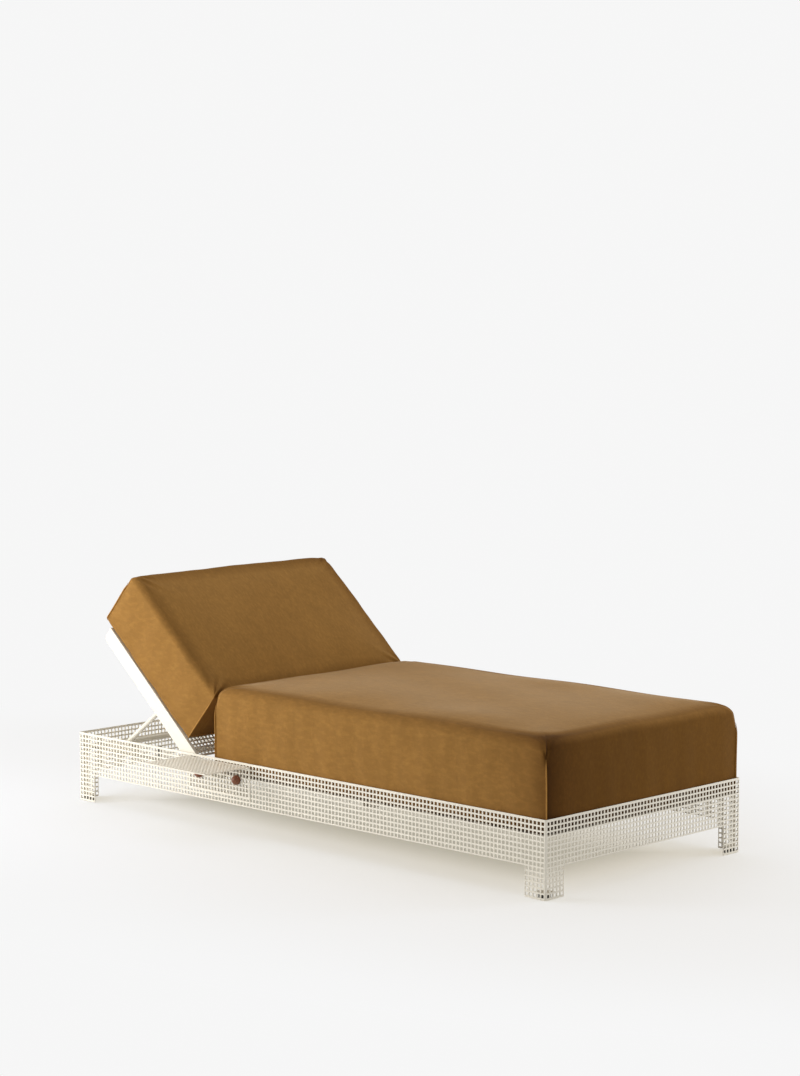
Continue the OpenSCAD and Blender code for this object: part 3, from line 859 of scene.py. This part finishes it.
def filled_cover(long, wide, thick, belly, soft):
    """Simulates the cover under the pressure of its filling, held by its seams, its top edges
    and its lowest part. Returns the places of the cloth before and how far each moved."""
    shape = bpy.context.scene.lounger_cushions
    held_by_seam, held_below = 0.030, 0.050
    points, faces, _, _ = cushion_form(long, wide, thick, belly, soft, seam=0.0)
    cover = mesh_piece("cover_trial", points, faces)
    remesh = cover.modifiers.new("even", "REMESH")
    remesh.mode = "VOXEL"
    remesh.voxel_size = shape.sim_voxel
    graph = bpy.context.evaluated_depsgraph_get()
    even = bpy.data.meshes.new_from_object(cover.evaluated_get(graph))
    cover.modifiers.clear()
    cover.data = even
    start = np.array([v.co for v in even.vertices])
    from_ends = long / 2 - np.abs(start[:, 0])
    from_sides = wide / 2 - np.abs(start[:, 1])
    by_a_seam = np.hypot(from_ends, from_sides) < held_by_seam
    on_top_edge = (np.minimum(from_ends, from_sides) < shape.edge) & (
        start[:, 2] > thick - shape.crown - 1.5 * shape.edge)
    held = np.nonzero(by_a_seam | on_top_edge | (start[:, 2] < held_below))[0]
    hold = cover.vertex_groups.new(name="sewn")
    hold.add([int(i) for i in held], 1.0, "REPLACE")
    cloth = cover.modifiers.new("fill", "CLOTH")
    fabric = {
        "quality": 5, "mass": 0.4, "tension_stiffness": 12, "compression_stiffness": 6,
        "shear_stiffness": 5, "bending_stiffness": 0.6, "use_pressure": True,
        "uniform_pressure_force": shape.pressure, "vertex_group_mass": hold.name}
    for name, value in fabric.items():
        setattr(cloth.settings, name, value)
    cloth.settings.effector_weights.gravity = 0
    cloth.point_cache.frame_start = 1
    cloth.point_cache.frame_end = shape.sim_frames
    for step in range(1, shape.sim_frames + 1):
        bpy.context.scene.frame_set(step)
    graph = bpy.context.evaluated_depsgraph_get()
    filled = bpy.data.meshes.new_from_object(cover.evaluated_get(graph))
    moved = np.array([v.co for v in filled.vertices]) - start
    bpy.data.objects.remove(cover)
    bpy.context.scene.frame_set(1)
    most = np.percentile(np.linalg.norm(moved, axis=1), 99)
    return start, moved * min(1.0, shape.puff / most)


def carried(points, start, moved, near=10, blur=0.004):
    """How far each point goes when it is carried along by the simulated cloth round it."""
    tree = KDTree(len(start))
    for index, place in enumerate(start):
        tree.insert(place, index)
    tree.balance()
    out = np.zeros((len(points), 3))
    for k, point in enumerate(points):
        found = tree.find_n(point, near)
        weights = np.array([1 / (distance + blur) ** 2 for _, _, distance in found])
        chosen = moved[[index for _, index, _ in found]]
        out[k] = (chosen * weights[:, None]).sum(0) / weights.sum()
    return out


def soft_creases(points, long, wide, thick):
    """The slow unevenness of foam under cloth: long shallow waves, and pulls that run from
    the corners into the faces."""
    x, y, z = points[:, 0], points[:, 1], points[:, 2]
    a, b = long / 2, wide / 2
    side_band, top_band = 0.03, 0.05
    inward = np.zeros_like(points)
    on_long = np.clip((np.abs(y) - b + side_band) / side_band, 0, 1)
    on_short = np.clip((np.abs(x) - a + side_band) / side_band, 0, 1)
    on_top = np.clip((z - thick + top_band) / top_band, 0, 1)
    along = 0.5 + 0.5 * np.clip(1 - z / thick, 0, 1)
    height = bpy.context.scene.lounger_cushions.wave
    wave = height * (np.sin(x * 31 + 1.3 * np.sin(z * 17)) + 0.7 * np.sin(x * 73 + 2 + z * 9))
    inward[:, 1] += np.sign(y) * on_long * along * wave
    wave = height / 2 * (np.sin(y * 36 + 0.8 + np.sin(z * 15)) + 0.7 * np.sin(y * 67 + z * 11))
    inward[:, 0] += np.sign(x) * on_short * along * wave
    inward[:, 2] += on_top * height * (np.sin(x * 11 + 2.2 * np.sin(y * 7)) +
                                       0.8 * np.sin(y * 17 + x * 5))
    corner = np.hypot(a - np.abs(x), b - np.abs(y))
    spoke = np.arctan2(b - np.abs(y), a - np.abs(x))
    pull = np.exp(-((corner - 0.05) / 0.05) ** 2) * np.sin(spoke * 14 + np.sign(x) + 2 * np.sign(y))
    inward[:, 2] += on_top * height * pull
    return inward


def marked(piece, attribute, values):
    """The piece with a value at each of its points, for its material to read."""
    made = piece.data.attributes.new(attribute, "FLOAT", "POINT")
    made.data.foreach_set("value", values)
    return piece


def cushion_piece(name, size, belly, soft):
    """The finished cover and its corner welts: the sewn form carried by the simulation, then
    its soft unevenness."""
    points, faces, seams, hollows = cushion_form(*size, belly, soft)
    places = np.array(points)
    start, moved = filled_cover(*size, belly, soft)
    places = places + carried(points, start, moved)
    places = places + soft_creases(places, *size)
    places[:, 2] = np.maximum(places[:, 2], 0.0)
    # the hollow attribute carries the painted shade for the cloth to darken
    piece = marked(mesh_piece(name + "_cover", places, faces, smooth=True), "hollow", hollows)
    rounder = piece.modifiers.new("rounder", "SUBSURF")
    rounder.levels = 1
    rounder.render_levels = 1
    return piece, seam_welts(name + "_welts", [places[line] for line in seams])


def seam_welts(name, seams, steps=10):
    """The thin folded welt that shows in the corner seams: one rod down each seam's points."""
    shape = bpy.context.scene.lounger_cushions
    angles = [2 * math.pi * k / steps for k in range(steps)]
    points, faces = [], []
    for line in seams:
        faces += closed_tube(*rings_of(len(line), steps, len(points)))
        outward = np.array([np.sign(line[0][0]), np.sign(line[0][1]), 0]) / math.sqrt(2)
        travel = np.gradient(line, axis=0)
        travel /= np.linalg.norm(travel, axis=1, keepdims=True)
        last = len(line) - 1
        for row, (place, ahead) in enumerate(zip(line, travel)):
            across = np.cross(ahead, outward)
            across /= np.linalg.norm(across)
            out = np.cross(across, ahead)
            thin = shape.welt / 2 * min(1.0, 0.2 + row / 4, 0.2 + (last - row) / 4)
            centre = place + out * shape.welt * 0.2
            points += [centre + thin * (math.cos(angle) * out + math.sin(angle) * across)
                       for angle in angles]
    # painted highlight: each welt point is marked for the cloth to lighten
    return marked(mesh_piece(name, points, faces, smooth=True), "raised", [1.0] * len(points))


class LOUNGER_OT_cushions(bpy.types.Operator):
    """Thick seat cushion on the deck and back cushion on the raised panel"""

    bl_idname = "lounger.cushions"
    bl_label = "Cushions"

    seat_belly: length_property("Seat belly", 0.002, "Swell of the seat cushion's sides")
    back_belly: length_property("Back belly", 0.005, "Swell of the back cushion's sides")

    def execute(self, context):
        low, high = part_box("seat_cushion")
        where = Matrix.Translation(((low.x + high.x) / 2, (low.y + high.y) / 2, low.z))
        self.cover("seat_cushion", high - low, self.seat_belly, where, SEAT_LOOSENESS)
        low, high = back_box("back_cushion")
        where = back_matrix() @ Matrix.Translation(
            ((low.x + high.x) / 2, (low.y + high.y) / 2, low.z))
        self.cover("back_cushion", high - low, self.back_belly, where, BACK_LOOSENESS)
        return {"FINISHED"}

    def cover(self, node, size, belly, where, soft):
        cover, welts = cushion_piece(node, tuple(size), belly, soft)
        for piece in (cover, welts):
            piece.data.transform(where)
        on_body(cover, node)
        dress(welts, SLOT_OF[node])
        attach(welts, NODES[node]["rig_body"])


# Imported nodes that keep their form


class LOUNGER_OT_metalwork(bpy.types.Operator):
    """Finishes of the bars, prop, deck, pins, pads and glides that keep their packed form"""

    bl_idname = "lounger.metalwork"
    bl_label = "Metalwork Finishes"

    def execute(self, context):
        for name, node in NODES.items():
            node.data.materials.clear()
            node.data.materials.append(finish_for(SLOT_OF[name]))
        return {"FINISHED"}


# Stage


def glow(owner, colour):
    return wired(owner, "Emission", (*colour, 1), 1.0)


def show(owner, kind, surface):
    """Makes a shader the surface of a Material or World tree."""
    feed(owner, owner.node_tree.nodes.new("ShaderNodeOutput" + kind), {"Surface": surface})


def under_lounger(material, place, footprint):
    """How much of the warm shade shows: none outside the footprint, most under its middle."""
    inside = []
    for axis, reach in zip("XY", footprint):
        size = wired(
            material, "Math", wired(material, "SeparateXYZ", place, give=axis),
            operation="ABSOLUTE")
        inside.append(wired(material, "Math", reach, size, operation="SUBTRACT"))
    depth = wired(material, "Math", *inside, operation="MINIMUM")
    return spread(material, depth, start=0.10, end=0.38, high=0.8, curve="SMOOTHSTEP")


def away_from_lounger(material, place):
    """How far the floor has faded into the backdrop: from 0 to 1 over an oval's rim."""
    long, wide = 1.25, 0.75
    oval = wired(material, "Mapping", place, Scale=(1 / long, 1 / wide, 1))
    distance = wired(material, "VectorMath", oval, operation="LENGTH", give="Value")
    return spread(material, distance, start=0.95, end=2.4, curve="SMOOTHSTEP")


def floor_material(colour, shown_colour, lift, under, backdrop, footprint):
    """Pale floor that keeps its shadow and fades into the backdrop away from the lounger. The
    camera sees it lifted, and in warm shade under the middle of the footprint, as in the
    photograph. Light bounces off its plain colour."""
    material = bpy.data.materials.new("studio_floor")
    material.use_nodes = True
    material.node_tree.nodes.clear()
    place = wired(material, "TexCoord", give="Object")
    seen = wired(material, "BsdfDiffuse", (*shown_colour, 1))
    lifted = wired(material, "AddShader", seen, glow(material, lift))
    near = wired(material, "MixShader", under_lounger(material, place, footprint), lifted,
                 glow(material, under))
    faded = wired(material, "MixShader", away_from_lounger(material, place), near,
                  glow(material, backdrop))
    plain = wired(material, "BsdfDiffuse", (*colour, 1))
    by_camera = wired(material, "LightPath", give="Is Camera Ray")
    show(material, "Material", wired(material, "MixShader", by_camera, plain, faded))
    return material


def studio_world(backdrop, ambient):
    """Soft light from all round, and the pale backdrop where the camera looks, straight or
    through something clear."""
    world = bpy.data.worlds.new("studio")
    world.use_nodes = True
    world.node_tree.nodes.clear()
    bpy.context.scene.world = world
    lit = wired(world, "Background", (1.0, 0.985, 0.96, 1), ambient)
    seen = wired(world, "Background", (*backdrop, 1))
    looks = [wired(world, "LightPath", give=f"Is {ray} Ray") for ray in ("Camera", "Transmission")]
    either = wired(world, "Math", *looks, operation="MAXIMUM")
    show(world, "World", wired(world, "MixShader", either, lit, seen))


def softbox(name, place, aim, size, power, colour=(1, 1, 1)):
    lamp = bpy.data.lights.new(name, "AREA")
    lamp.shape = "RECTANGLE"
    lamp.size, lamp.size_y = size
    lamp.energy = power
    lamp.color = colour
    holder = new_object(name, lamp)
    holder.location = place
    holder.rotation_euler = (Vector(aim) - Vector(place)).to_track_quat("-Z", "Y").to_euler()


class LOUNGER_OT_stage(bpy.types.Operator):
    """Floor, backdrop, softboxes and the camera at the photograph's angle"""

    bl_idname = "lounger.stage"
    bl_label = "Studio"

    backdrop: colour_property(
        "Backdrop", (0.925, 0.925, 0.925), "Pale grey-white behind the lounger")
    floor_shown: colour_property(
        "Shown floor", (0.37, 0.42, 0.53), "Colour of the floor where the camera looks")
    floor_lift: colour_property(
        "Floor lift", (0.555, 0.505, 0.405), "Even light added to the floor where the camera looks")
    floor_under: colour_property(
        "Floor under", (0.40, 0.37, 0.295), "Warm shade of the floor under the lounger's middle")
    ambient: FloatProperty(
        name="Ambient", description="Light from all round", default=0.58, min=0)
    key_power: FloatProperty(
        name="Key power", description="Softbox at the head end, on the tray's side",
        default=88.0, unit="POWER")
    top_power: FloatProperty(
        name="Top power", description="Softbox overhead", default=20.0, unit="POWER")
    foot_power: FloatProperty(
        name="Foot power", description="Weak softbox beyond the far foot corner",
        default=19.0, unit="POWER")
    lens: FloatProperty(name="Lens", description="Focal length in millimetres", default=86.65)
    camera_place: FloatVectorProperty(
        name="Camera", description="Camera position from the middle of the base",
        subtype="XYZ", unit="LENGTH", default=(5.8253, -5.9197, 1.7427))
    camera_turn: FloatVectorProperty(
        name="Camera turn", description="Camera rotation", subtype="EULER", unit="ROTATION",
        default=(math.radians(84.465), 0.0, math.radians(44.393)))

    def execute(self, context):
        scene = context.scene
        studio_world(self.backdrop, self.ambient)
        bpy.ops.mesh.primitive_plane_add(size=60.0, location=(0, MIDDLE_Y, 0))
        floor = context.active_object
        floor.name = "studio_floor"
        _, base_high = base_box()
        floor.data.materials.append(floor_material(
            scene.lounger_colours.floor, self.floor_shown, self.floor_lift, self.floor_under,
            self.backdrop, (base_high.x, base_high.y - MIDDLE_Y)))
        aim = (0.0, MIDDLE_Y, 0.3)
        softbox("head_softbox", (-2.45, -2.65, 1.0), aim, (1.8, 1.6), self.key_power,
                (1.0, 0.99, 0.97))
        softbox("overhead_softbox", (-0.4, 0.2, 3.2), aim, (3.2, 2.2), self.top_power)
        softbox("far_foot_softbox", (2.3, 2.0, 0.9), (1.0, 0.4, 0.3), (0.9, 0.9),
                self.foot_power)
        camera = bpy.data.cameras.new("photo_camera")
        camera.lens = self.lens
        camera.sensor_width = 36.0
        camera.clip_end = 200.0
        holder = new_object("photo_camera", camera)
        holder.location = Vector(self.camera_place) + Vector((0, MIDDLE_Y, 0))
        holder.rotation_euler = self.camera_turn
        scene.camera = holder
        scene.view_settings.view_transform = "Standard"
        return {"FINISHED"}


# Panel and running


class LOUNGER_PT_panel(bpy.types.Panel):
    """Lists the steps and sizes in the sidebar"""

    bl_label = "Sun Lounger"
    bl_idname = "LOUNGER_PT_panel"
    bl_space_type = "VIEW_3D"
    bl_region_type = "UI"
    bl_category = "Lounger"

    def draw(self, context):
        layout = self.layout
        for step in STEPS:
            layout.operator(step.bl_idname)
        for group in GROUPS:
            settings = getattr(context.scene, group)
            box = layout.box()
            for name in settings.__annotations__:
                box.prop(settings, name)


STEPS = (
    LOUNGER_OT_stage,
    LOUNGER_OT_metalwork,
    LOUNGER_OT_base,
    LOUNGER_OT_back,
    LOUNGER_OT_tray,
    LOUNGER_OT_knobs,
    LOUNGER_OT_cushions,
)
GROUPS = {
    "lounger_sheet": LoungerSheet,
    "lounger_cushions": LoungerCushions,
    "lounger_colours": LoungerColours,
}
CLASSES = (*GROUPS.values(), *STEPS, LOUNGER_PT_panel)


def register():
    for made in CLASSES:
        bpy.utils.register_class(made)
    for name, group in GROUPS.items():
        setattr(bpy.types.Scene, name, PointerProperty(type=group))


def unregister():
    for name in GROUPS:
        delattr(bpy.types.Scene, name)
    for made in reversed(CLASSES):
        bpy.utils.unregister_class(made)


def main():
    register()
    bpy.ops.lounger.stage()
    bpy.ops.lounger.metalwork()
    bpy.ops.lounger.base()
    bpy.ops.lounger.back()
    bpy.ops.lounger.tray()
    bpy.ops.lounger.knobs()
    bpy.ops.lounger.cushions()


if __name__ == "__main__":
    main()
